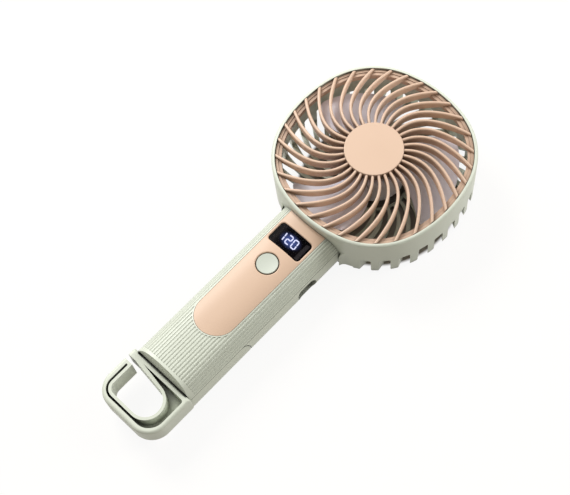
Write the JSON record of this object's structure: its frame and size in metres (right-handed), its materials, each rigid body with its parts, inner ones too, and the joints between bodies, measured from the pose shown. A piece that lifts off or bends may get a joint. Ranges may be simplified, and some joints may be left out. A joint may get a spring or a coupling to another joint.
{
  "type": "handheld fan",
  "caption": "Battery handheld fan: swirl-ribbed round head with a broad-bladed impeller, reeded handle with display and button, and a hinged hook stand.",
  "frame": {"origin": "middle of the fan's outline, on the surface that it lies on, back down", "axes": "+Z out of the front grille, +Y up the handle towards the head, +X to the right seen from the front"},
  "size_m": [0.0934, 0.2156, 0.0323],
  "materials": {
    "sage_plastic": "satin moulded",
    "beige_plastic": "satin moulded",
    "mauve_plastic": "satin moulded",
    "smoked_window": "glossy smoked",
    "display_case": "white with lit segments behind the window",
    "black_plastic": "moulded",
    "circuit_board": "solder mask",
    "copper_wire": "enamelled copper",
    "electrical_steel": "laminated",
    "plated_steel": "bright zinc",
    "ferrite": "sintered",
    "cell_foil": "pouch foil",
    "lead_sheath": "insulated lead",
    "washer_nylon": "nylon"
  },
  "bodies": {
    "fan_body": {"head_housing": "sage_plastic", "front_grille": "beige_plastic", "motor_base": "black_plastic", "motor_board": "circuit_board", "motor_bearings": "plated_steel", "stator_core": "electrical_steel", "stator_windings": "copper_wire", "motor_screws": "plated_steel", "motor_lead": "lead_sheath", "handle_front_shell": "sage_plastic", "handle_rear_shell": "sage_plastic", "shell_screws": "plated_steel", "front_panel": "beige_plastic", "display_window": "smoked_window", "display_module": "display_case", "display_board": "circuit_board", "button_switch": "plated_steel", "main_board": "circuit_board", "usb_socket": "plated_steel", "battery_upper": "cell_foil", "battery_lower": "cell_foil", "battery_lead": "lead_sheath", "hinge_pin": "plated_steel", "friction_washers": "washer_nylon"},
    "rotor": {"impeller": "mauve_plastic", "rotor_cup": "plated_steel", "rotor_magnet": "ferrite", "motor_shaft": "plated_steel"},
    "button": {"power_button": "sage_plastic", "switch_plunger": "black_plastic"},
    "stand": {"hook_stand": "sage_plastic"}
  },
  "joints": [
    {"name": "impeller_spin", "type": "hinge", "parent": "fan_body", "child": "rotor", "pos_m": [0, 0.0611, 0.0157], "axis": [0, 0, 1], "continuous": true},
    {"name": "button_press", "type": "slide", "parent": "fan_body", "child": "button", "axis": [0, 0, -1], "range_m": [0, 0.0005], "stiffness_N_per_m": 1500, "springref_m": -0.0003},
    {"name": "stand_swing", "type": "hinge", "parent": "fan_body", "child": "stand", "pos_m": [0, -0.0482, 0.0096], "axis": [1, 0, 0], "range_deg": [0, 90]}
  ]
}
